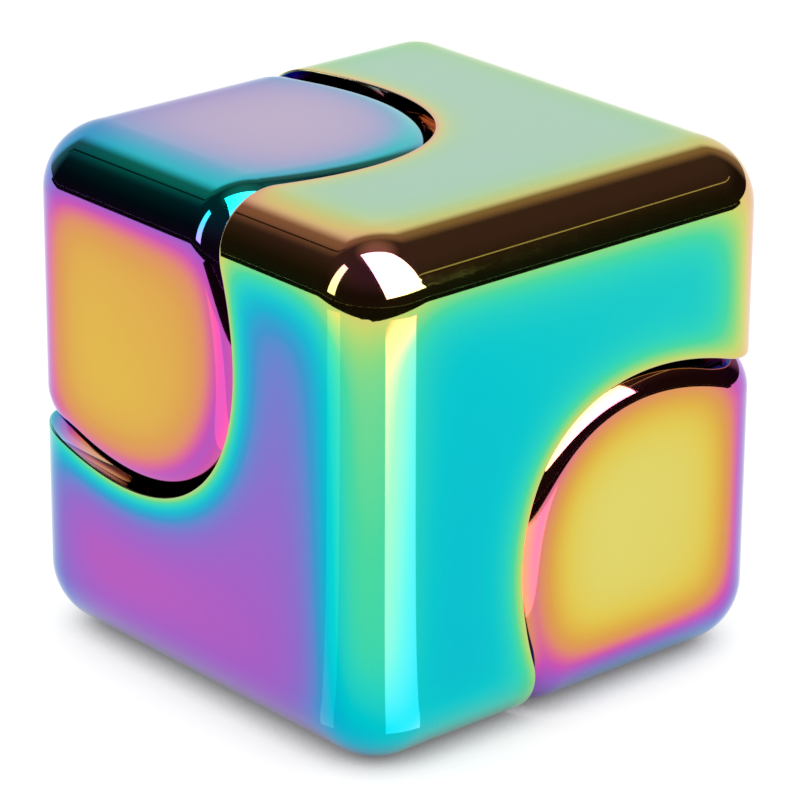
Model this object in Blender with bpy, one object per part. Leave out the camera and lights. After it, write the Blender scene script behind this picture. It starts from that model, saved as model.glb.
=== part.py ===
"""Spinning fidget cube: a polished metal cube whose two opposite corners turn about the body diagonal.

The cube stands on one face with its origin at the middle of that face, +Z up. The middle body keeps
all six faces. A round socket is sunk into it from the left rear top corner and another from the
diagonally opposite one, and a corner cap turns in each. Both caps are fixed to one axle, which runs
in two small ball bearings set into the web that is left between the sockets.
"""
import math

import bmesh
import bpy
from mathutils import Matrix, Vector

# ---- driving sizes, in metres -------------------------------------------------------------------
SIDE = 0.030                    # edge length of the cube
EDGE_FILLET = 0.0039            # round on the twelve outer edges
SOCKET_RADIUS = 0.0134          # radius of the round sockets about the diagonal
RUNNING_GAP = 0.0007            # radial gap between a cap and its socket wall
CAP_RIM_ROUND = 0.0009          # width of the round along a cap's curved rim, on each side
LOWER_CAP_LIFT = 0.0010         # gap between the lower cap and its socket floor

BEARING_BORE = 0.0060           # ball bearing: bore, outside diameter and width
BEARING_OUTSIDE = 0.0130
BEARING_WIDTH = 0.0050
BALL_DIAMETER = 0.0020
BALL_COUNT = 7
RACE_DEPTH = 0.00033            # depth of a ball groove below the plain land beside it
SHIELD_SEAT = 0.0004            # how far a shield's seat is cut into the outer ring
SHOULDER_WIDTH = 0.0012         # web left between the two bearing seats
SHOULDER_LIP = 0.0012           # how far that shoulder reaches in over the outer rings
SHIELD_THICKNESS = 0.0003
RETAINER_THICKNESS = 0.0005
RETAINER_RIM = 0.00025           # retainer wall left beside each ball pocket
AXLE_SEAT_DEPTH = 0.0050        # depth of the blind bore that holds the axle in each cap

# ---- clearances ---------------------------------------------------------------------------------
FIT = 0.0001                    # gap left between pieces that seat on each other
BALL_CLEARANCE = 0.00008        # gap between a ball and its groove
POCKET_CLEARANCE = 0.00015      # gap between a ball and its pocket in the retainer

# ---- fineness -----------------------------------------------------------------------------------
SOCKET_SEGMENTS = 72
BEARING_SEGMENTS = 36
FILLET_SEGMENTS = 6
RIM_SEGMENTS = 3

# ---- sizes that follow from the ones above ------------------------------------------------------
CENTRE = Vector((0.0, 0.0, SIDE / 2))
SPIN_DIRECTION = Vector((-1.0, 1.0, 1.0)).normalized()
CORNER_REACH = SIDE * math.sqrt(3) / 2
CAP_RADIUS = SOCKET_RADIUS - RUNNING_GAP
WEB_HALF = BEARING_WIDTH + SHOULDER_WIDTH / 2
BEARING_HEIGHT = (BEARING_WIDTH + SHOULDER_WIDTH) / 2
CAP_FACE = WEB_HALF + LOWER_CAP_LIFT
AXLE_RADIUS = BEARING_BORE / 2 - FIT
BALL_PITCH_RADIUS = (BEARING_BORE + BEARING_OUTSIDE) / 4
RACE_GROOVE = BALL_DIAMETER / 2 + BALL_CLEARANCE
POCKET_RADIUS = BALL_DIAMETER / 2 + POCKET_CLEARANCE
RETAINER_HALF_WIDTH = POCKET_RADIUS + RETAINER_RIM
INNER_LAND = BALL_PITCH_RADIUS - RACE_GROOVE + RACE_DEPTH
OUTER_LAND = BALL_PITCH_RADIUS + RACE_GROOVE - RACE_DEPTH


def new_material(name, colour, roughness, metallic):
    """A plain Principled finish."""
    material = bpy.data.materials.new(name)
    material.use_nodes = True
    shader = material.node_tree.nodes["Principled BSDF"]
    shader.inputs["Base Color"].default_value = (*colour, 1.0)
    shader.inputs["Roughness"].default_value = roughness
    shader.inputs["Metallic"].default_value = metallic
    material.diffuse_color = (*colour, 1.0)
    return material


def new_object(name, bm, material=None, parent=None, location=(0.0, 0.0, 0.0), sharp=30.0):
    """Turn a finished bmesh into a smooth-shaded object."""
    mesh = bpy.data.meshes.new(name)
    bm.to_mesh(mesh)
    bm.free()
    mesh.shade_smooth()
    mesh.set_sharp_from_angle(angle=math.radians(sharp))
    if material is not None:
        mesh.materials.append(material)
    return place(name, mesh, parent, location)


def place(name, mesh, parent=None, location=(0.0, 0.0, 0.0)):
    """Put a mesh, or an empty when there is none, into the scene."""
    piece = bpy.data.objects.new(name, mesh)
    piece.location = location
    piece.parent = parent
    bpy.context.scene.collection.objects.link(piece)
    return piece


def turned(profile, segments):
    """Turn a closed outline of (radius, height) points about Z."""
    bm = bmesh.new()
    rings = []
    for radius, height in profile:
        if radius == 0.0:
            rings.append([bm.verts.new((0.0, 0.0, height))] * segments)
            continue
        angles = [math.tau * step / segments for step in range(segments)]
        rings.append([bm.verts.new((radius * math.cos(a), radius * math.sin(a), height)) for a in angles])
    for near, far in zip(rings, rings[1:] + rings[:1]):
        for step in range(segments):
            after = (step + 1) % segments
            corners = list(dict.fromkeys((near[step], near[after], far[after], far[step])))
            if len(corners) > 2:
                bm.faces.new(corners)
    bmesh.ops.recalc_face_normals(bm, faces=bm.faces)
    return bm


def hide_cutter(cutter):
    """A cutter only shapes other pieces."""
    cutter.hide_render = True
    cutter.display_type = 'WIRE'
    return cutter


def add_boolean(piece, cutter, operation):
    modifier = piece.modifiers.new(operation.lower(), 'BOOLEAN')
    modifier.operation = operation
    modifier.solver = 'EXACT'
    modifier.object = cutter


def rounded_cube():
    """The full cube with its edges and corners rounded, centred on its own origin."""
    bm = bmesh.new()
    bmesh.ops.create_cube(bm, size=SIDE)
    bmesh.ops.bevel(bm, geom=bm.edges[:], offset=EDGE_FILLET, offset_type='OFFSET', segments=FILLET_SEGMENTS,
                    profile=0.5, affect='EDGES')
    return bm


def bake_modifiers(piece):
    """Replace a piece's mesh by its cut shape, so that its new edges can be rounded."""
    bpy.context.view_layer.update()
    depsgraph = bpy.context.evaluated_depsgraph_get()
    cut_mesh = bpy.data.meshes.new_from_object(piece.evaluated_get(depsgraph))
    piece.modifiers.clear()
    piece.data = cut_mesh
    return cut_mesh


def round_cap_rim(piece, sense):
    """Round the curved rim where the cap's turned wall meets the cube's faces."""
    mesh = bake_modifiers(piece)
    axis = SPIN_DIRECTION * sense
    bm = bmesh.new()
    bm.from_mesh(mesh)
    bmesh.ops.remove_doubles(bm, verts=bm.verts, dist=1e-6)
    rim = []
    for edge in bm.edges:
        away = [(v.co - axis * v.co.dot(axis)).length for v in edge.verts]
        if min(away) < CAP_RADIUS * 0.995 or len(edge.link_faces) != 2:
            continue
        tilts = sorted(abs(face.normal.dot(axis)) for face in edge.link_faces)
        if tilts[0] < 0.01 and 0.2 < tilts[1] < 0.999999:
            rim.append(edge)
    bmesh.ops.bevel(bm, geom=rim, offset=CAP_RIM_ROUND, offset_type='OFFSET', segments=RIM_SEGMENTS,
                    profile=0.5, affect='EDGES', clamp_overlap=False)
    for vert in bm.verts:
        vert.co = [min(max(value, -SIDE / 2), SIDE / 2) for value in vert.co]
    bmesh.ops.recalc_face_normals(bm, faces=bm.faces)
    bm.to_mesh(mesh)
    bm.free()
    mesh.shade_smooth()
    mesh.set_sharp_from_angle(angle=math.radians(30.0))


def build_core(axis_frame, material):
    """The middle body: the cube less both sockets, the bearing seats and the hole through the shoulder."""
    core = new_object("middle_body", rounded_cube(), material, location=CENTRE)
    beyond = CORNER_REACH * 1.2
    seat = BEARING_OUTSIDE / 2 + FIT
    lip = BEARING_OUTSIDE / 2 - SHOULDER_LIP
    lip_half = SHOULDER_WIDTH / 2 - FIT / 2
    half = [(0.0, beyond), (SOCKET_RADIUS, beyond), (SOCKET_RADIUS, WEB_HALF), (seat, WEB_HALF),
            (seat, lip_half), (lip, lip_half)]
    mirrored = [(radius, -height) for radius, height in reversed(half)]
    cutter = hide_cutter(new_object("socket_cutter", turned(half + mirrored, SOCKET_SEGMENTS), parent=axis_frame))
    add_boolean(core, cutter, 'DIFFERENCE')
    return core


def build_cap(name, sense, spin_tilt, material):
    """One corner of the cube on its turned stem, with a blind bore for the axle."""
    cap = new_object(name, rounded_cube(), material, location=CENTRE)
    beyond = CORNER_REACH * 1.2
    bore = AXLE_RADIUS + FIT
    bore_end = CAP_FACE + AXLE_SEAT_DEPTH
    profile = [(0.0, bore_end), (bore, bore_end), (bore, CAP_FACE), (CAP_RADIUS, CAP_FACE),
               (CAP_RADIUS, beyond), (0.0, beyond)]
    blank = turned([(radius, height * sense) for radius, height in profile], SOCKET_SEGMENTS)
    cutter = hide_cutter(new_object(name + "_blank", blank, location=CENTRE))
    cutter.rotation_euler = spin_tilt
    add_boolean(cap, cutter, 'INTERSECT')
    round_cap_rim(cap, sense)
    return cap


def groove(facing, steps=4):
    """Points of a ball groove's arc between its two lands, from the bearing's lower side to its upper side."""
    spread = math.acos(1.0 - RACE_DEPTH / RACE_GROOVE)
    points = []
    for step in range(steps + 1):
        angle = spread * (2 * step / steps - 1)
        radius = BALL_PITCH_RADIUS + facing * RACE_GROOVE * math.cos(angle)
        points.append((radius, RACE_GROOVE * math.sin(angle)))
    return points


def build_bearing(side, height, spin_axis, materials):
    """A shielded ball bearing centred at a height on the axis."""
    half = BEARING_WIDTH / 2
    inner_bore = BEARING_BORE / 2
    outer_wall = BEARING_OUTSIDE / 2
    shield_outer = OUTER_LAND + SHIELD_SEAT
    shield_low = half - 2 * SHIELD_THICKNESS
    shield_high = shield_low + SHIELD_THICKNESS

    inner = [(inner_bore, -half), (INNER_LAND, -half)] + groove(-1) + [(INNER_LAND, half), (inner_bore, half)]
    seat_low = shield_low - FIT
    outer = [(outer_wall, -half), (shield_outer, -half), (shield_outer, -seat_low), (OUTER_LAND, -seat_low)]
    outer += groove(1)
    outer += [(OUTER_LAND, seat_low), (shield_outer, seat_low), (shield_outer, half), (outer_wall, half)]

    frame = place(side + "_bearing_frame", None, spin_axis, (0.0, 0.0, height))
    new_object(side + "_bearing_inner_ring", turned(inner, BEARING_SEGMENTS), materials["steel"], frame)
    new_object(side + "_bearing_outer_ring", turned(outer, BEARING_SEGMENTS), materials["steel"], frame)

    shield_bore = INNER_LAND + 2 * FIT
    for face, sense in (("front", 1), ("back", -1)):
        disc = [(shield_bore, shield_low * sense), (shield_outer - FIT, shield_low * sense),
                (shield_outer - FIT, shield_high * sense), (shield_bore, shield_high * sense)]
        new_object(side + "_bearing_" + face + "_shield", turned(disc, BEARING_SEGMENTS), materials["shield"], frame)

    ball_frame = place(side + "_ball_frame", None, frame)
    sleeve_bore = BALL_PITCH_RADIUS - RETAINER_THICKNESS / 2
    sleeve_outer = BALL_PITCH_RADIUS + RETAINER_THICKNESS / 2
    sleeve = [(sleeve_bore, -RETAINER_HALF_WIDTH), (sleeve_outer, -RETAINER_HALF_WIDTH),
              (sleeve_outer, RETAINER_HALF_WIDTH), (sleeve_bore, RETAINER_HALF_WIDTH)]
    retainer = new_object(side + "_bearing_retainer", turned(sleeve, 4 * BALL_COUNT), materials["brass"], ball_frame)
    pockets = bmesh.new()
    for index in range(BALL_COUNT):
        turn = Matrix.Rotation(math.tau * index / BALL_COUNT, 4, 'Z')
        outwards = turn @ Matrix.Translation((BALL_PITCH_RADIUS, 0.0, 0.0)) @ Matrix.Rotation(math.pi / 2, 4, 'Y')
        bmesh.ops.create_cone(pockets, cap_ends=True, segments=16, radius1=POCKET_RADIUS, radius2=POCKET_RADIUS,
                              depth=BALL_DIAMETER, matrix=outwards)
    cutter = hide_cutter(new_object(side + "_pocket_cutter", pockets, parent=ball_frame))
    add_boolean(retainer, cutter, 'DIFFERENCE')

    sphere = bmesh.new()
    bmesh.ops.create_uvsphere(sphere, u_segments=14, v_segments=8, radius=BALL_DIAMETER / 2)
    ball = new_object(side + "_bearing_ball_1", sphere, materials["ball"], ball_frame, sharp=180.0)
    for index in range(BALL_COUNT):
        angle = math.tau * index / BALL_COUNT
        spot = (BALL_PITCH_RADIUS * math.cos(angle), BALL_PITCH_RADIUS * math.sin(angle), 0.0)
        if index == 0:
            ball.location = spot
        else:
            place("%s_bearing_ball_%d" % (side, index + 1), ball.data, ball_frame, spot)


def build_axle_stack(spin_axis, materials):
    """The axle with its washers and the spacer that keeps the inner rings apart."""
    upper_end = CAP_FACE + AXLE_SEAT_DEPTH - FIT
    lower_end = CAP_FACE + AXLE_SEAT_DEPTH - FIT
    chamfer = AXLE_RADIUS * 0.15
    pin = [(0.0, -lower_end), (AXLE_RADIUS - chamfer, -lower_end), (AXLE_RADIUS, chamfer - lower_end),
           (AXLE_RADIUS, upper_end - chamfer), (AXLE_RADIUS - chamfer, upper_end), (0.0, upper_end)]
    new_object("axle_pin", turned(pin, BEARING_SEGMENTS), materials["axle"], spin_axis)

    ring_bore = BEARING_BORE / 2
    ring_outer = INNER_LAND - FIT
    stack = (("bearing_spacer", -SHOULDER_WIDTH / 2, SHOULDER_WIDTH / 2),
             ("upper_washer", WEB_HALF, CAP_FACE),
             ("lower_washer", -CAP_FACE, -WEB_HALF))
    for name, low, high in stack:
        low += FIT
        high -= FIT
        ring = [(ring_bore, low), (ring_outer, low), (ring_outer, high), (ring_bore, high)]
        new_object(name, turned(ring, BEARING_SEGMENTS), materials["washer"], spin_axis)


def main():
    for leftover in list(bpy.data.objects):
        bpy.data.objects.remove(leftover)

    plated = {"middle": new_material("rainbow_plated_middle", (0.05, 0.52, 0.50), 0.06, 1.0),
              "upper": new_material("rainbow_plated_upper", (0.68, 0.40, 0.14), 0.06, 1.0),
              "lower": new_material("rainbow_plated_lower", (0.70, 0.52, 0.10), 0.06, 1.0)}
    materials = {"steel": new_material("bearing_steel", (0.55, 0.56, 0.58), 0.18, 1.0),
                 "ball": new_material("polished_ball_steel", (0.66, 0.67, 0.69), 0.08, 1.0),
                 "shield": new_material("pressed_shield_steel", (0.48, 0.49, 0.50), 0.3, 1.0),
                 "brass": new_material("retainer_brass", (0.66, 0.46, 0.17), 0.3, 1.0),
                 "axle": new_material("ground_axle_steel", (0.50, 0.51, 0.53), 0.22, 1.0),
                 "washer": new_material("washer_steel", (0.42, 0.43, 0.45), 0.35, 1.0)}

    spin_axis = place("spin_axis", None, location=CENTRE)
    spin_axis.rotation_euler = SPIN_DIRECTION.to_track_quat('Z', 'Y').to_euler()

    build_core(spin_axis, plated["middle"])
    build_cap("upper_corner_cap", 1, spin_axis.rotation_euler, plated["upper"])
    build_cap("lower_corner_cap", -1, spin_axis.rotation_euler, plated["lower"])
    build_axle_stack(spin_axis, materials)
    build_bearing("upper", BEARING_HEIGHT, spin_axis, materials)
    build_bearing("lower", -BEARING_HEIGHT, spin_axis, materials)
    bpy.context.view_layer.update()


main()
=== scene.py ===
import math

import bmesh
import bpy
import numpy as np
from mathutils import Matrix, Vector


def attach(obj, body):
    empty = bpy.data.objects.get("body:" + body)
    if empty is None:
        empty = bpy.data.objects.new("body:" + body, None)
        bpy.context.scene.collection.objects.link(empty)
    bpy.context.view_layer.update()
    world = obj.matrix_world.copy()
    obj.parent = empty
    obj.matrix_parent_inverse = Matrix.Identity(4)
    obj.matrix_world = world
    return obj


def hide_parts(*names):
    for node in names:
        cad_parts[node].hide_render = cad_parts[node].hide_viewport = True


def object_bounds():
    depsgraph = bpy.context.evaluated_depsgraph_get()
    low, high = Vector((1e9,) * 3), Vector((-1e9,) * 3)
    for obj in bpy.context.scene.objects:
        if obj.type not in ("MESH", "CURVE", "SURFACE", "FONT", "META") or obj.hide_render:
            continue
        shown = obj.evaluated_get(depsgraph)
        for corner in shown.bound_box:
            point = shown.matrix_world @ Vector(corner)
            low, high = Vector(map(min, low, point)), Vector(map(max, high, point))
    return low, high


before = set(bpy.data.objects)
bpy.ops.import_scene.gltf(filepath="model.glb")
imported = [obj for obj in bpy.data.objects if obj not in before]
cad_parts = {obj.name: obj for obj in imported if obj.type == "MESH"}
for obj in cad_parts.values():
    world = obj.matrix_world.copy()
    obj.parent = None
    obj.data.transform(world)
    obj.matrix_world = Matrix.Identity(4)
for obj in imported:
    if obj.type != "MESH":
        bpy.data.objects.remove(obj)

CAD_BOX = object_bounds()

# ---- sizes of the cube, in metres ---------------------------------------------------------------
LOW, HIGH = (np.array(corner) for corner in CAD_BOX)
SIDE = float(HIGH[2] - LOW[2])
HALF = SIDE / 2
CENTRE = np.array([0.0, 0.0, HALF])
EDGE_FILLET = 0.0039
SOCKET_RADIUS = 0.0134
CAP_RADIUS = 0.0127
CAP_RIM_ROUND = 0.0026          # true radius of the polished round along a cap's rim
SOCKET_RIM_BREAK = 0.00022      # the socket's rim is only just broken
RIM_STEPS = (0.2, 0.4, 0.6, 0.8)
WEB_HALF = 0.0056
CAP_FACE = 0.0066
AXLE_BORE = 0.0030
AXLE_BORE_END = 0.0116
BEARING_SEAT = 0.0066
SHOULDER_LIP = 0.0053
SHOULDER_HALF = 0.00055
HARD_CORNER = 0.00004           # how far two flat or turned surfaces stay back from their shared corner
CAP_HEART = 0.0125              # a point on the spin axis, deep inside a cap, that sees all of its skin
WELL_OUTSIDE = 0.03             # no surface of the cube is farther than this from a start inside it
EDGE_CUT = 0.41 * EDGE_FILLET   # from the sharp edge to the middle of its round
CORNER_CUT = 0.7 * EDGE_FILLET  # from the sharp corner nearly to the middle of its round

SPIN = np.array([-1.0, 1.0, 1.0]) / math.sqrt(3)
ACROSS = np.cross(SPIN, [0.0, 0.0, 1.0])
ACROSS /= np.linalg.norm(ACROSS)
ALONG = np.cross(SPIN, ACROSS)

TURN_STEPS = 600                # steps round the spin axis
SKIN_STEPS = 104                # steps from the upper socket's rim to the lower one's
CAP_STEPS = 142                 # steps from a cap's corner to its foot
FACES = np.array([[0, 0, 1], [0, 0, -1], [0, -1, 0], [0, 1, 0], [-1, 0, 0], [1, 0, 0]], dtype=float)
FACE_NAMES = ("top", "under", "right", "back_left", "left", "back_right")


# ---- colour ---------------------------------------------------------------------------------------
def linear(hex_colour):
    """An sRGB hex colour as linear RGBA."""
    values = [int(hex_colour[i:i + 2], 16) / 255 for i in (1, 3, 5)]
    return tuple(v / 12.92 if v <= 0.04045 else ((v + 0.055) / 1.055) ** 2.4 for v in values) + (1.0,)


# ---- the cube's shape as distances ----------------------------------------------------------------
def cube_distance(points):
    """Signed distance to the rounded cube."""
    reach = np.abs(points) - (HALF - EDGE_FILLET)
    outside = np.linalg.norm(np.maximum(reach, 0.0), axis=-1)
    return outside + np.minimum(reach.max(-1), 0.0) - EDGE_FILLET


def gradient(field, points, step=2e-6):
    """Unit gradient of a distance field."""
    slopes = []
    for axis in range(3):
        shift = np.zeros(3)
        shift[axis] = step
        slopes.append(field(points + shift) - field(points - shift))
    slopes = np.stack(slopes, -1)
    return slopes / np.maximum(np.linalg.norm(slopes, axis=-1, keepdims=True), 1e-12)


def radial_parts(points):
    """Height along the spin axis, distance from it, and the unit direction away from it."""
    height = points @ SPIN
    away = points - height[..., None] * SPIN
    distance = np.linalg.norm(away, axis=-1)
    return height, distance, away / np.maximum(distance, 1e-9)[..., None]


def cap_distance(points):
    """The cube met by the cap's turned wall, with a rolling-ball round along the rim."""
    height, distance, outward = radial_parts(points)
    cube = cube_distance(points)
    wall = distance - CAP_RADIUS
    meet = np.clip(np.sum(gradient(cube_distance, points) * outward, -1), -0.95, 0.95)
    in_cube = cube + CAP_RIM_ROUND
    in_wall = wall + CAP_RIM_ROUND
    spread = np.sqrt(np.maximum(in_cube ** 2 + in_wall ** 2 - 2 * in_cube * in_wall * meet, 0.0))
    rounded = spread / np.sqrt(1 - meet ** 2) - CAP_RIM_ROUND
    on_round = (in_cube > in_wall * meet) & (in_wall > in_cube * meet)
    return np.where(on_round, rounded, np.maximum(cube, wall))


def march_out(field, start, directions, halvings=44):
    """Where rays from inside a solid leave it, by bisection."""
    low = np.zeros(directions.shape[:-1])
    high = np.full(directions.shape[:-1], WELL_OUTSIDE)
    for _ in range(halvings):
        middle = (low + high) / 2
        inside = field(start + directions * middle[..., None]) < 0
        low = np.where(inside, middle, low)
        high = np.where(inside, high, middle)
    return start + directions * ((low + high) / 2)[..., None]


def turn_directions():
    """Unit directions away from the spin axis, one for each step of turn."""
    angles = np.linspace(0.0, math.tau, TURN_STEPS, endpoint=False)
    return np.cos(angles)[:, None] * ACROSS + np.sin(angles)[:, None] * ALONG


def swept(outward, radii, heights):
    """Points at given radii and heights for every direction of turn."""
    radii = np.broadcast_to(radii, (len(outward), np.shape(radii)[-1]))
    heights = np.broadcast_to(heights, (len(outward), np.shape(heights)[-1]))
    return radii[..., None] * outward[:, None] + heights[..., None] * SPIN


def same_normal(outward, count, radial, axial):
    """The normals of a turned wall (radial) or a flat floor (axial), for count points of each step of turn."""
    normal = radial * outward + axial * SPIN
    return np.repeat(normal[:, None], count, 1)


# ---- plating: film thickness as a phase along the interference colours ----------------------------
SIDES = {"top": (2, 1), "under": (2, -1), "right": (1, -1), "back_left": (1, 1), "left": (0, -1),
         "back_right": (0, 1)}
CORNER_REACH = 0.0011           # how far a corner's extra film reaches past its round
FACE_BLEND = 6                  # how sharply the levels change over between two faces on a round
HIDDEN_FILM = 0.1               # thin gold film on surfaces that the plating hardly reaches
FLOOR_FILM = 0.12               # the same on a socket's floor
WALL_FILM, WALL_RISE, WALL_REACH = 0.14, 0.5, 0.0012     # a socket's wall, and its rise towards the rim
BREAK_PALE = 0.2                # paleness of the broken socket rim
# down a cap's wall the film thins: from this depth, by this much, over this reach
CAP_WALL_START, CAP_WALL_DROP, CAP_WALL_REACH = 0.0012, 0.22, 0.0020


def plated_film(points, normals, rim_gap, finish):
    """Film phase and paleness: each face's own level, pulled towards those of the edges and rim nearby."""
    weights = np.clip(normals @ FACES.T, 0.0, 1.0) ** FACE_BLEND
    weights = weights / np.maximum(weights.sum(-1, keepdims=True), 1e-6)

    def by_face(key):
        return weights @ np.array([finish[key][side] for side in FACE_NAMES])

    level = by_face("level") + np.sum(by_face("tilt") * points, -1) / HALF
    reach = by_face("edge_reach")
    pulls = [(np.exp(-np.maximum(rim_gap, 0.0) / by_face("rim_reach")), by_face("rim"))]
    for (first, second), target in finish["edges"].items():
        (axis, way), (other_axis, other_way) = SIDES[first], SIDES[second]
        run = np.hypot(HALF - way * points[..., axis], HALF - other_way * points[..., other_axis])
        upright = {"top", "under"}.isdisjoint((first, second))
        rise = finish["edge_rise"] * points[..., 2] / HALF if upright else 0.0
        pulls.append((np.exp(-(np.maximum(run - EDGE_CUT, 0.0) / reach) ** 1.5), target + rise))
    keep = np.prod([1.0 - pull for pull, _ in pulls], axis=0)
    total = sum(pull for pull, _ in pulls)
    target = sum(pull * goal for pull, goal in pulls) / np.maximum(total, 1e-9)
    corner, extra = finish["corner"]
    corner_gap = np.linalg.norm(points - HALF * np.array(corner), axis=-1) - CORNER_CUT
    film = level * keep + target * (1.0 - keep) + extra * np.exp(-np.maximum(corner_gap, 0.0) / CORNER_REACH)
    return film, by_face("pale") * keep ** finish["pale_fade"]


# ---- meshes from swept profiles -------------------------------------------------------------------
def swept_mesh(name, grid, normals, film, pale, poles=False):
    """Close a grid of profile points round the spin axis.

    With poles, the first and last columns are single points on the axis. Otherwise the profile is a closed loop.
    """
    turns, count = grid.shape[:2]
    columns = np.arange(count)
    index = np.arange(turns * count).reshape(turns, count)
    if poles:
        index[:, 0] = index[0, 0]
        index[:, -1] = index[0, -1]
        pairs = [(c, c + 1) for c in columns[:-1]]
    else:
        pairs = [(c, (c + 1) % count) for c in columns]
    following = np.roll(index, -1, axis=0)
    quads = []
    for here, there in pairs:
        quad = np.stack([index[:, here], index[:, there], following[:, there], following[:, here]], 1)
        quads.extend(tuple(dict.fromkeys(corner)) for corner in quad.tolist())
    mesh = bpy.data.meshes.new(name)
    mesh.from_pydata((grid.reshape(-1, 3) + CENTRE).tolist(), [], quads)
    for label, values in (("film", film), ("pale", pale)):
        layer = mesh.attributes.new(label, 'FLOAT', 'POINT')
        layer.data.foreach_set("value", values.astype(np.float32).ravel())
    mesh.shade_smooth()
    mesh.update()
    flat_normals = normals.reshape(-1, 3)
    first = mesh.polygons[len(mesh.polygons) // 2]
    if Vector(first.normal).dot(Vector(flat_normals[first.vertices[0]])) < 0:
        mesh.flip_normals()
    mesh.normals_split_custom_set_from_vertices(flat_normals.tolist())
    if poles:
        bm = bmesh.new()
        bm.from_mesh(mesh)
        loose = [v for v in bm.verts if not v.link_faces]
        bmesh.ops.delete(bm, geom=loose, context='VERTS')
        bm.to_mesh(mesh)
        bm.free()
    piece = bpy.data.objects.new(name, mesh)
    bpy.context.scene.collection.objects.link(piece)
    return piece


def for_faces(top, under, right, back_left, left, back_right):
    """One value for each face of the cube."""
    return dict(zip(FACE_NAMES, (top, under, right, back_left, left, back_right)))


# Film on each piece, face by face and edge by edge, as phases along FILM_STOPS; reaches are in metres.
# level: the middle of a face; tilt: its change along X, Y and Z; edges and rim: what the film rises or falls
# to there, because the plating is thicker at edges; pale: how much a face is washed out, and pale_fade how
# fast that ends towards an edge.
FLAT = (0.0, 0.0, 0.0)
MIDDLE_FILM = {
    "level": for_faces(0.763, 0.60, 0.622, 0.60, 0.376, 0.46),
    "tilt": for_faces(FLAT, (0.03, 0.0, 0.0), (0.02, 0.0, 0.02), (0.0, 0.0, 0.05), (0.0, -0.04, 0.07),
                      (0.0, 0.05, 0.08)),
    "edges": {("top", "right"): 0.96, ("top", "left"): 0.965, ("top", "back_left"): 0.82,
              ("top", "back_right"): 0.87, ("left", "right"): 0.747, ("left", "back_left"): 0.52,
              ("left", "under"): 0.40, ("right", "under"): 0.68, ("right", "back_right"): 0.96,
              ("back_left", "back_right"): 0.75, ("back_left", "under"): 0.66, ("back_right", "under"): 0.66},
    "edge_reach": for_faces(0.0020, 0.0015, 0.0021, 0.0018, 0.0025, 0.0020), "edge_rise": 0.05,
    "corner": ((-1, -1, 1), 0.14),
    "rim": for_faces(1.01, 0.85, 0.93, 0.88, 0.90, 0.88),
    "rim_reach": for_faces(0.0007, 0.0009, 0.0009, 0.0011, 0.0011, 0.0011),
    "pale": for_faces(0.55, 0.1, 0.0, 0.0, 0.0, 0.0), "pale_fade": 1.6}
UPPER_FILM = {
    "level": for_faces(0.35, 0.1, 0.1, 0.14, 0.10, 0.1),
    "tilt": for_faces(FLAT, FLAT, FLAT, (0.0, 0.0, 0.04), (0.0, -0.028, 0.05), FLAT),
    "edges": {("top", "left"): 0.63, ("top", "back_left"): 0.46, ("left", "back_left"): 0.40},
    "corner": ((-1, 1, 1), 0.0),
    "edge_reach": for_faces(0.0030, 0.002, 0.002, 0.002, 0.0019, 0.002), "edge_rise": 0.0,
    "rim": for_faces(0.66, 0.4, 0.4, 0.4, 0.36, 0.4),
    "rim_reach": for_faces(0.0016, 0.0012, 0.0012, 0.0012, 0.0013, 0.0012),
    "pale": for_faces(0.58, 0.0, 0.0, 0.1, 0.0, 0.0), "pale_fade": 1.0}
LOWER_FILM = {
    "level": for_faces(0.0, 0.0, -0.035, 0.0, 0.0, 0.0),
    "tilt": for_faces(FLAT, (0.05, 0.0, 0.0), (0.06, 0.0, -0.035), FLAT, FLAT, (0.0, 0.04, -0.05)),
    "edges": {("right", "back_right"): 0.45, ("right", "under"): 0.50, ("back_right", "under"): 0.50},
    "corner": ((1, -1, -1), 0.0),
    "edge_reach": for_faces(0.0016, 0.0020, 0.0020, 0.0016, 0.0016, 0.0020), "edge_rise": 0.0,
    "rim": for_faces(0.30, 0.30, 0.28, 0.30, 0.30, 0.30),
    "rim_reach": for_faces(0.0012, 0.0014, 0.0017, 0.0012, 0.0012, 0.0017),
    "pale": for_faces(0.0, 0.05, 0.0, 0.0, 0.0, 0.05), "pale_fade": 1.0}


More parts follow.
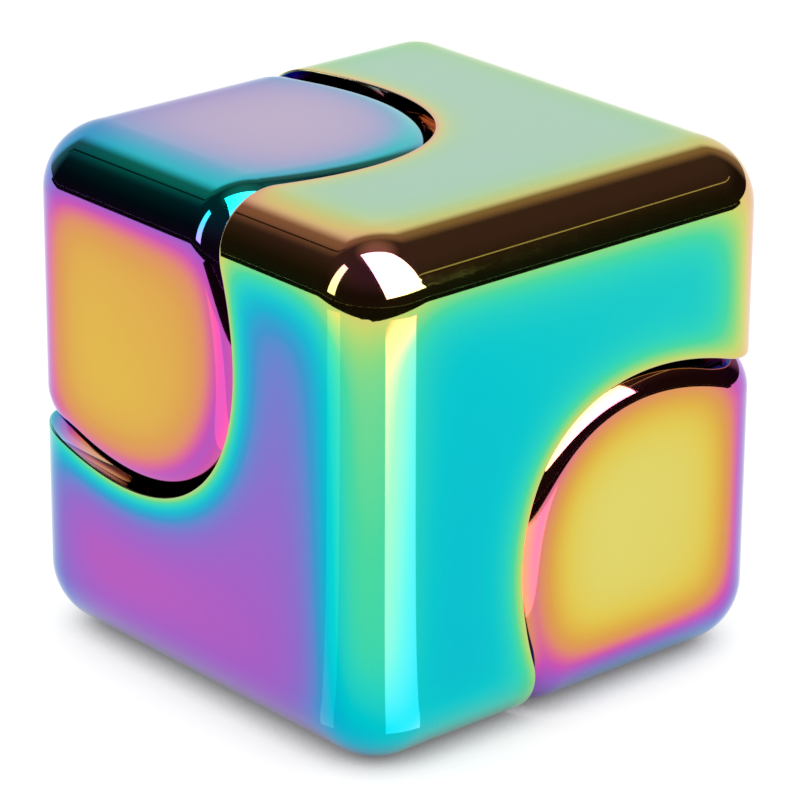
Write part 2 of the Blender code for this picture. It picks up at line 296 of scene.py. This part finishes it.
def make_middle_body():
    """The middle body: every half-plane through the spin axis cuts it in one closed outline."""
    outward = turn_directions()
    rims = []
    for sense in (1, -1):
        start = outward * SOCKET_RADIUS
        rims.append(march_out(cube_distance, start, np.broadcast_to(SPIN * sense, start.shape)))
    angles = []
    for rim in rims:
        height, distance, _ = radial_parts(rim)
        angles.append(np.arctan2(distance, height))
        reach = np.hypot(distance, height)
    inset = SOCKET_RIM_BREAK / reach
    share = np.linspace(0.0, 1.0, SKIN_STEPS)
    sweep = (angles[0] + inset)[:, None] * (1 - share) + (angles[1] - inset)[:, None] * share
    rays = np.cos(sweep)[..., None] * SPIN + np.sin(sweep)[..., None] * outward[:, None]
    outer = march_out(cube_distance, np.zeros(3), rays)
    outer_normals = gradient(cube_distance, outer)
    sinus = np.linalg.norm(np.cross(outer_normals, outward[:, None]), axis=-1)
    _, distance, _ = radial_parts(outer)
    rim_gap = (distance - SOCKET_RADIUS) / np.maximum(sinus, 0.3)
    outer_film, outer_pale = plated_film(outer, outer_normals, rim_gap, MIDDLE_FILM)

    grid, normals, film, pale = [], [], [], []

    def add(points, normal, level, paleness):
        grid.append(points)
        normals.append(np.broadcast_to(normal, points.shape))
        film.append(np.broadcast_to(level, points.shape[:2]))
        pale.append(np.broadcast_to(paleness, points.shape[:2]))

    def add_socket(sense):
        """One socket from the bearing shoulder out to the foot of its rim."""
        corner = HARD_CORNER
        rim_height = np.abs(radial_parts(rims[0 if sense == 1 else 1])[0])
        pieces = []
        lip_line = np.array([0.0001, SHOULDER_HALF - corner]) * sense
        pieces.append((swept(outward, np.full(2, SHOULDER_LIP), lip_line), same_normal(outward, 2, -1, 0),
                       HIDDEN_FILM))
        ledge = np.array([SHOULDER_LIP + corner, BEARING_SEAT - corner])
        pieces.append((swept(outward, ledge, np.full(2, SHOULDER_HALF) * sense),
                       same_normal(outward, 2, 0, sense), HIDDEN_FILM))
        seat = np.array([SHOULDER_HALF + corner, WEB_HALF - corner]) * sense
        pieces.append((swept(outward, np.full(2, BEARING_SEAT), seat), same_normal(outward, 2, -1, 0),
                       HIDDEN_FILM))
        floor = np.linspace(BEARING_SEAT + corner, SOCKET_RADIUS - corner, 6)
        pieces.append((swept(outward, floor, np.full(6, WEB_HALF) * sense), same_normal(outward, 6, 0, sense),
                       FLOOR_FILM))
        climb = np.linspace(0.0, 1.0, 9)[None]
        wall = (WEB_HALF + corner) * (1 - climb) + (rim_height[:, None] - SOCKET_RIM_BREAK) * climb
        depth = rim_height[:, None] - wall
        wall_film = WALL_FILM + WALL_RISE * np.exp(-depth / WALL_REACH)
        pieces.append((swept(outward, np.full(9, SOCKET_RADIUS), wall * sense), same_normal(outward, 9, -1, 0),
                       wall_film))
        return pieces

    def add_break(rim, foot, outer_point, foot_normal, outer_normal, level):
        """The broken rim, as a small curve from the wall to the outside."""
        points, directions = [], []
        for t in RIM_STEPS:
            points.append((1 - t) ** 2 * foot + 2 * t * (1 - t) * rim + t ** 2 * outer_point)
            direction = (1 - t) * foot_normal + t * outer_normal
            directions.append(direction / np.linalg.norm(direction, axis=-1, keepdims=True))
        return np.stack(points, 1), np.stack(directions, 1), np.repeat(level[:, None], len(RIM_STEPS), 1)

    upper = add_socket(1)
    for points, normal, level in upper:
        add(points, normal, level, 0.0)
    foot = upper[-1][0][:, -1]
    points, normal, level = add_break(rims[0], foot, outer[:, 0], -outward, outer_normals[:, 0],
                                      outer_film[:, 0])
    add(points, normal, level, BREAK_PALE)
    add(outer, outer_normals, outer_film, outer_pale)
    lower = add_socket(-1)
    foot = lower[-1][0][:, -1]
    points, normal, level = add_break(rims[1], foot, outer[:, -1], -outward, outer_normals[:, -1],
                                      outer_film[:, -1])
    add(points[:, ::-1], normal[:, ::-1], level, BREAK_PALE)
    for points, normal, level in reversed(lower):
        level = np.broadcast_to(level, points.shape[:2])
        add(points[:, ::-1], normal[:, ::-1], level[:, ::-1], 0.0)
    return swept_mesh("polished_middle_body", np.concatenate(grid, 1), np.concatenate(normals, 1),
                      np.concatenate(film, 1), np.concatenate(pale, 1))


def make_cap(name, sense, finish):
    """A corner cap: from the corner over the faces and the rounded rim, down the wall to the axle bore."""
    outward = turn_directions()
    heart = SPIN * sense * CAP_HEART
    foot = np.array([CAP_RADIUS, CAP_FACE + HARD_CORNER])
    last = math.atan2(foot[0], foot[1] - CAP_HEART)
    share = np.linspace(0.0, 1.0, CAP_STEPS)
    angles = last * share
    rays = (np.cos(angles)[None, :, None] * SPIN * sense + np.sin(angles)[None, :, None] * outward[:, None])
    skin = march_out(cap_distance, heart, rays)
    skin_normals = gradient(cap_distance, skin)
    _, distance, _ = radial_parts(skin)
    cube_normals = gradient(cube_distance, skin)
    meet = np.clip(np.sum(cube_normals * outward[:, None], -1), -0.9, 0.9)
    rim_gap = np.maximum(CAP_RADIUS - distance, 0.0) / np.sqrt(1 - meet ** 2)
    rim_gap = np.maximum(rim_gap, -cube_distance(skin))
    film, pale = plated_film(skin, skin_normals, rim_gap, finish)
    depth = np.maximum(-cube_distance(skin) - CAP_WALL_START, 0.0)
    film = film - CAP_WALL_DROP * (1 - np.exp(-depth / CAP_WALL_REACH))
    count = 5
    corner = HARD_CORNER
    back = np.linspace(CAP_RADIUS - corner, AXLE_BORE + corner, count)
    back_grid = swept(outward, back, np.full(count, CAP_FACE) * sense)
    bore_line = np.array([CAP_FACE + corner, AXLE_BORE_END - corner]) * sense
    bore_grid = swept(outward, np.full(2, AXLE_BORE), bore_line)
    end_grid = swept(outward, np.array([AXLE_BORE - corner, 0.0]), np.full(2, AXLE_BORE_END) * sense)
    grid = np.concatenate([skin, back_grid, bore_grid, end_grid], 1)
    normals = np.concatenate([skin_normals, same_normal(outward, count, 0, -sense),
                              same_normal(outward, 2, -1, 0), same_normal(outward, 2, 0, -sense)], 1)
    normals[:, 0] = SPIN * sense
    inside = np.full((TURN_STEPS, count + 4), HIDDEN_FILM)
    film = np.concatenate([film, inside], 1)
    pale = np.concatenate([pale, inside * 0], 1)
    return swept_mesh(name, grid, normals, film, pale, poles=True)


# ---- materials ------------------------------------------------------------------------------------
def add_node(tree, kind, settings=None, links=None, values=None):
    """Add a node, set its properties and socket values, and link (node, output) pairs to its inputs."""
    node = tree.nodes.new(kind)
    for key, value in (settings or {}).items():
        setattr(node, key, value)
    for key, value in (values or {}).items():
        node.inputs[key].default_value = value
    for key, (source, output) in (links or {}).items():
        tree.links.new(source.outputs[output], node.inputs[key])
    return node


def new_material(name):
    """An empty node material."""
    material = bpy.data.materials.new(name)
    material.use_nodes = True
    material.node_tree.nodes.clear()
    return material, material.node_tree


def per_metre(millimetres):
    """A noise scale from the real size of one blotch or mark."""
    return 1000.0 / millimetres


def set_stops(ramp, stops):
    """Give a colour ramp its positions and hex colours."""
    elements = ramp.color_ramp.elements
    while len(elements) > 1:
        elements.remove(elements[-1])
    elements[0].position = stops[0][0]
    elements[0].color = linear(stops[0][1])
    for position, colour in stops[1:]:
        elements.new(position).color = linear(colour)


# Interference colours in the order the film thickens: straw gold, rose, violet, blue, cyan, green, the second
# gold, the second rose and the second violet.
FILM_STOPS = [(0.00, "#D8CE68"), (0.05, "#DAC350"), (0.10, "#D9AF45"), (0.15, "#D69B4B"), (0.20, "#D88A62"),
              (0.25, "#D6698C"), (0.30, "#C250B0"), (0.36, "#9F59C0"), (0.41, "#8866C4"), (0.46, "#6A7AC8"),
              (0.51, "#3490C8"), (0.57, "#00ACCA"), (0.63, "#00C0C6"), (0.69, "#28CCB6"), (0.74, "#46D09A"),
              (0.80, "#8AD27C"), (0.86, "#BCD06C"), (0.92, "#DAC26E"), (0.97, "#DEA283"), (1.02, "#D484A0"),
              (1.08, "#C070BC"), (1.14, "#A866C4")]
FILM_SPAN = 1.14
WASHED_OUT = "#C4C8CA"          # a pale grey that the pale attribute mixes in; the top faces get the most of it
FILM_DRIFT = 0.02               # the film's own unevenness, as a phase


def plated_zinc(name, roughness=0.035, haze_depth=0.03):
    """Die-cast zinc alloy, buffed to a mirror and ion-plated with a thin oxide film.

    The eye gets a sharp mirror whose tint follows the film's thickness, drifts a little over each face, and has
    a faint haze of buffing marks. A metal keeps the default IOR.
    """
    material, tree = new_material(name)
    film = add_node(tree, "ShaderNodeAttribute", {"attribute_name": "film"})
    pale = add_node(tree, "ShaderNodeAttribute", {"attribute_name": "pale"})
    place = add_node(tree, "ShaderNodeTexCoord")
    # clouds about 11 mm across, the width of a face's plain area
    drift = add_node(tree, "ShaderNodeTexNoise", None, {"Vector": (place, "Object")},
                     {"Scale": per_metre(11.1), "Detail": 2.0, "Roughness": 0.4})
    shifted = add_node(tree, "ShaderNodeMath", {"operation": 'MULTIPLY_ADD'}, {0: (drift, "Fac")},
                       {1: FILM_DRIFT, 2: -FILM_DRIFT / 2})
    total = add_node(tree, "ShaderNodeMath", {"operation": 'ADD'}, {0: (film, "Fac"), 1: (shifted, "Value")})
    scaled = add_node(tree, "ShaderNodeMath", {"operation": 'DIVIDE'}, {0: (total, "Value")}, {1: FILM_SPAN})
    ramp = add_node(tree, "ShaderNodeValToRGB", None, {"Fac": (scaled, "Value")})
    set_stops(ramp, [(phase / FILM_SPAN, colour) for phase, colour in FILM_STOPS])
    tint = add_node(tree, "ShaderNodeMix", {"data_type": 'RGBA'}, {0: (pale, "Fac")})
    tree.links.new(ramp.outputs["Color"], tint.inputs[6])
    tint.inputs[7].default_value = linear(WASHED_OUT)
    # buffing marks are a few hundredths of a millimetre wide; they are drawn 0.7 mm wide, to show at all
    grain = add_node(tree, "ShaderNodeTexNoise", None, {"Vector": (place, "Object")},
                     {"Scale": per_metre(0.714), "Detail": 3.0, "Roughness": 0.6})
    haze = add_node(tree, "ShaderNodeMapRange", None, {"Value": (grain, "Fac")},
                    {"From Min": 0.35, "From Max": 0.75, "To Min": roughness,
                     "To Max": roughness + haze_depth})
    shader = add_node(tree, "ShaderNodeBsdfPrincipled", None,
                      {"Base Color": (tint, 2), "Roughness": (haze, "Result")}, {"Metallic": 1.0})
    add_node(tree, "ShaderNodeOutputMaterial", None, {"Surface": (shader, "BSDF")})
    return material


def bearing_metal(name, light, dark, roughness, grain):
    """Ground, pressed or lapped metal: a mottled grain, given in millimetres, in colour, gloss and relief.

    Real grinding marks are a few thousandths of a millimetre wide; the grain is coarser, so that it shows.
    """
    material, tree = new_material(name)
    place = add_node(tree, "ShaderNodeTexCoord")
    centred = add_node(tree, "ShaderNodeMapping", None, {"Vector": (place, "Object")})
    centred.inputs["Location"].default_value = (0.0, 0.0, -HALF)
    marks = add_node(tree, "ShaderNodeTexNoise", None, {"Vector": (centred, "Vector")},
                     {"Scale": per_metre(grain), "Detail": 4.0, "Roughness": 0.6})
    ramp = add_node(tree, "ShaderNodeValToRGB", None, {"Fac": (marks, "Fac")})
    set_stops(ramp, [(0.3, dark), (0.7, light)])
    rough = add_node(tree, "ShaderNodeMapRange", None, {"Value": (marks, "Fac")},
                     {"From Min": 0.3, "From Max": 0.7, "To Min": roughness * 0.8, "To Max": roughness * 1.3})
    bump = add_node(tree, "ShaderNodeBump", None, {"Height": (marks, "Fac")},
                    {"Strength": 0.08, "Distance": 0.00002})
    shader = add_node(tree, "ShaderNodeBsdfPrincipled", None,
                      {"Base Color": (ramp, "Color"), "Roughness": (rough, "Result"),
                       "Normal": (bump, "Normal")}, {"Metallic": 1.0})
    add_node(tree, "ShaderNodeOutputMaterial", None, {"Surface": (shader, "BSDF")})
    return material


def set_material(piece, material):
    """Assign to every material slot, after adding one where there is none."""
    if not piece.material_slots:
        piece.data.materials.append(material)
    for slot in piece.material_slots:
        slot.material = material


# ---- the studio -----------------------------------------------------------------------------------
def glowing(name, colour, strength):
    """A lamp face or a lit card that only gives light."""
    material, tree = new_material(name)
    light = add_node(tree, "ShaderNodeEmission", None, None, {"Color": linear(colour), "Strength": strength})
    add_node(tree, "ShaderNodeOutputMaterial", None, {"Surface": (light, "Emission")})
    return material


def stage_mesh(name, points, faces, material, only_mirrored=True):
    """A card or floor of the studio; cards show only in the polished metal."""
    mesh = bpy.data.meshes.new(name)
    mesh.from_pydata([tuple(p) for p in points], [], faces)
    mesh.materials.append(material)
    card = bpy.data.objects.new(name, mesh)
    bpy.context.scene.collection.objects.link(card)
    if only_mirrored:
        card.visible_camera = False
        card.visible_diffuse = False
        card.visible_shadow = False
        card.visible_transmission = False
    return card


def direction(bearing, height):
    """Unit direction from a bearing (from -Y towards +X) and a height above the horizon, in degrees."""
    turn, rise = math.radians(bearing), math.radians(height)
    return Vector((math.cos(rise) * math.sin(turn), -math.cos(rise) * math.cos(turn), math.sin(rise)))


def soft_box(name, material, corners):
    """A flat lamp face from four (bearing, height, distance) corners seen from the cube."""
    points = [Vector(CENTRE) + direction(bearing, height) * distance for bearing, height, distance in corners]
    return stage_mesh(name, points, [(0, 1, 2, 3)], material)


def floor_sector(name, material, middle, bearings, near, far, lift, steps=60):
    """A flat sector on the floor round a middle point, between two curves given as radius by bearing."""
    points = []
    for i in range(steps + 1):
        bearing = bearings[0] + (bearings[1] - bearings[0]) * i / steps
        for radius in (near(bearing), far(bearing)):
            points.append(direction(bearing, 0) * radius + Vector((middle[0], middle[1], lift)))
    return stage_mesh(name, points, [(2 * i, 2 * i + 1, 2 * i + 3, 2 * i + 2) for i in range(steps)], material)


def smooth(value, low, high):
    """An even change from 0 at low to 1 at high."""
    t = min(max((value - low) / (high - low), 0.0), 1.0)
    return t * t * (3 - 2 * t)


def build_tent():
    """The light tent: white paper behind the cube, falling off to an unlit room on the camera's side."""
    around, upward = 180, 60
    radius = 2.8
    lowest, highest = -6, 90
    back_wall = direction(148, 18)
    points, glow = [], []
    for j in range(upward + 1):
        height = lowest + (highest - lowest) * j / upward
        for i in range(around):
            towards = direction(360 * i / around, height)
            points.append(Vector(CENTRE) + towards * radius)
            off = math.degrees(math.acos(min(max(towards.dot(back_wall), -1.0), 1.0)))
            paper = 1.0 - smooth(off, 31, 47)
            bounce = 0.24 * (1.0 - smooth(off, 44, 62))
            room = 0.012 + 0.035 * smooth(height, 12, 45)
            ceiling = 0.26 * smooth(height, 52, 86)
            glow.append(max(paper, bounce, room, ceiling))
    faces = [(j * around + i, j * around + (i + 1) % around, (j + 1) * around + (i + 1) % around,
              (j + 1) * around + i) for j in range(upward) for i in range(around)]
    material, tree = new_material("light_tent")
    level = add_node(tree, "ShaderNodeAttribute", {"attribute_name": "glow"})
    tone = add_node(tree, "ShaderNodeValToRGB", None, {"Fac": (level, "Fac")})
    set_stops(tone, [(0.0, "#000000"), (0.05, "#443A36"), (0.25, "#96826E"), (1.0, "#FFFFFF")])
    light = add_node(tree, "ShaderNodeEmission", None, {"Color": (tone, "Color")}, {"Strength": 0.95})
    add_node(tree, "ShaderNodeOutputMaterial", None, {"Surface": (light, "Emission")})
    tent = stage_mesh("light_tent", points, faces, material)
    layer = tent.data.attributes.new("glow", 'FLOAT', 'POINT')
    layer.data.foreach_set("value", glow)
    return tent


def white_card():
    """Matt white card: it glows a little, so it stays white, with a painted contact shadow that darkens it only
    close round the cube.
    """
    material, tree = new_material("matt_white_card")
    place = add_node(tree, "ShaderNodeTexCoord")
    fibres = add_node(tree, "ShaderNodeTexNoise", None, {"Vector": (place, "Object")},
                      {"Scale": per_metre(1.25), "Detail": 2.0})
    # painted contact shadow: ambient occlusion, not the lamps, darkens the card's colour and glow close round
    # the cube
    painted_shadow_ao = add_node(tree, "ShaderNodeAmbientOcclusion", {"samples": 8}, None, {"Distance": 0.0065})
    # the faint fibre mottle is added to the painted shadow before the ramp turns it into grey tones
    grain = add_node(tree, "ShaderNodeMath", {"operation": 'MULTIPLY_ADD'},
                     {0: (fibres, "Fac"), 2: (painted_shadow_ao, "AO")}, {1: 0.01})
    shade = add_node(tree, "ShaderNodeValToRGB", None, {"Fac": (grain, "Value")})
    set_stops(shade, [(0.0, "#525254"), (0.2, "#A0A0A2"), (0.38, "#DCDCDD"), (0.55, "#F7F7F7"),
                      (0.72, "#FFFFFF")])
    shader = add_node(tree, "ShaderNodeBsdfPrincipled", None,
                      {"Base Color": (shade, "Color"), "Emission Color": (shade, "Color")},
                      {"Roughness": 0.9, "Specular IOR Level": 0.0, "Emission Strength": 0.90})
    # the colour that takes light from the room is much duller than the glow
    dull = add_node(tree, "ShaderNodeMix", {"data_type": 'RGBA', "blend_type": 'MULTIPLY'})
    dull.inputs[0].default_value = 1.0
    dull.inputs[7].default_value = linear("#737373")
    tree.links.new(shade.outputs["Color"], dull.inputs[6])
    tree.links.new(dull.outputs[2], shader.inputs["Base Color"])
    add_node(tree, "ShaderNodeOutputMaterial", None, {"Surface": (shader, "BSDF")})
    return material


def build_studio():
    """A white floor, white air, a light tent, two soft boxes, and the cards that the polished metal mirrors."""
    reach = 3.0
    stage_mesh("floor", [(-reach, -reach, 0), (reach, -reach, 0), (reach, reach, 0), (-reach, reach, 0)],
               [(0, 1, 2, 3)], white_card(), only_mirrored=False)

    world = bpy.data.worlds.new("soft_studio")
    bpy.context.scene.world = world
    world.use_nodes = True
    air = world.node_tree.nodes["Background"]
    air.inputs["Color"].default_value = linear("#FFFFFF")
    air.inputs["Strength"].default_value = 1.12

    build_tent()
    soft_box("overhead_soft_box", glowing("soft_box_face", "#FFFFFF", 6.0),
             ((-25, 12.5, 0.60), (37, 12.5, 0.60), (36, 72, 0.45), (-113, 69, 0.45)))
    soft_box("side_soft_box", glowing("side_soft_box_face", "#FFFFFF", 3.0),
             ((-121, 7, 0.60), (-107, 7, 0.60), (-106, 46, 0.60), (-121, 46, 0.60)))
    soft_box("thin_lamp_edge", glowing("lamp_edge", "#F4FFB8", 0.62),
             ((38, 27.0, 0.70), (62, 27.0, 0.70), (62, 27.9, 0.70), (38, 27.9, 0.70)))
    soft_box("tent_seam", glowing("seam_shadow", "#140F0C", 1.0),
             ((-159.4, 28, 2.0), (-157.8, 28, 2.0), (-157.4, 50, 2.0), (-159.6, 50, 2.0)))
    floor_sector("dark_floor_past_the_paper", glowing("dark_table", "#17130F", 1.0), (0.0, 0.0), (-160, 60),
                 lambda turn: 0.0905 + 0.000025 * (turn + 45) ** 2, lambda turn: 2.5, 0.0004)
    edge_line = -(HALF - EDGE_FILLET)   # the cards' bearings are taken from the upright edge's own middle
    floor_sector("lit_paper_in_front", glowing("lit_paper", "#FF8894", 6.6), (edge_line, edge_line), (-27, 21),
                 lambda turn: 0.005, lambda turn: 0.069 + 0.0003 * (turn + 27), 0.0002)
    floor_sector("lit_paper_at_the_side", glowing("side_paper", "#FFDCD4", 1.8), (edge_line, edge_line),
                 (-119, -96), lambda turn: 0.005, lambda turn: 0.105, 0.0002)


def build_camera():
    """A long lens from the front left, a little above the cube."""
    azimuth, elevation, roll = math.radians(-41.19), math.radians(21.56), math.radians(0.34)
    back = Vector((math.sin(azimuth) * math.cos(elevation), -math.cos(azimuth) * math.cos(elevation),
                   math.sin(elevation)))
    right = Vector((0, 0, 1)).cross(back).normalized()
    up = back.cross(right)
    turned_right = right * math.cos(roll) + up * math.sin(roll)
    turned_up = up * math.cos(roll) - right * math.sin(roll)
    camera_data = bpy.data.cameras.new("studio_camera")
    camera = bpy.data.objects.new("studio_camera", camera_data)
    bpy.context.scene.collection.objects.link(camera)
    turn = Matrix((turned_right, turned_up, back)).transposed()
    camera.matrix_world = Matrix.Translation(Vector(CENTRE) + back * 7.85 * SIDE) @ turn.to_4x4()
    camera_data.lens = 189.3
    camera_data.sensor_width = 36.0
    camera_data.shift_x = 0.0049
    camera_data.shift_y = -0.0216
    camera_data.clip_start = 0.01
    camera_data.clip_end = 20.0
    bpy.context.scene.camera = camera


# ---- assembly -------------------------------------------------------------------------------------
def finish_bearings():
    """Metals for the CAD nodes inside the cube; each keeps its own shape."""
    # hardened chrome steel, ground: cool grey and fairly glossy
    rings = bearing_metal("ground_bearing_steel", "#B9BBBE", "#9EA0A4", 0.16, 0.4)
    # thin sheet steel, pressed: duller, with a soft sheen
    shields = bearing_metal("pressed_shield_steel", "#A9ABAE", "#8C8E92", 0.3, 0.667)
    # silver steel rod, centreless ground
    axle = bearing_metal("ground_axle_steel", "#A8AAAE", "#8F9195", 0.22, 0.333)
    # mild steel, turned and left plain: the dullest
    washers = bearing_metal("turned_washer_steel", "#9A9CA0", "#7D7F84", 0.34, 0.556)
    # brass strip, pressed: warm yellow
    retainers = bearing_metal("pressed_retainer_brass", "#C9A45A", "#A98545", 0.3, 0.625)
    # chrome steel, lapped: bright, nearly a mirror
    balls = bearing_metal("lapped_ball_steel", "#CFD1D4", "#C2C4C8", 0.06, 0.5)
    finishes = (("_ring", rings), ("_shield", shields), ("_retainer", retainers), ("_ball_", balls),
                ("axle_pin", axle), ("_washer", washers), ("_spacer", washers))
    for name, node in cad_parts.items():
        for word, finish in finishes:
            if word in name:
                set_material(node, finish)


def main():
    view = bpy.context.scene.view_settings
    view.view_transform = 'Standard'
    view.look = 'None'

    middle = make_middle_body()
    set_material(middle, plated_zinc("rainbow_plated_zinc_middle"))
    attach(middle, "body")
    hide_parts("middle_body")

    upper = make_cap("polished_upper_cap", 1, UPPER_FILM)
    set_material(upper, plated_zinc("rainbow_plated_zinc_upper"))
    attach(upper, "rotor")
    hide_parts("upper_corner_cap")

    lower = make_cap("polished_lower_cap", -1, LOWER_FILM)
    set_material(lower, plated_zinc("rainbow_plated_zinc_lower"))
    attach(lower, "rotor")
    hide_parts("lower_corner_cap")

    finish_bearings()
    build_studio()
    build_camera()


main()
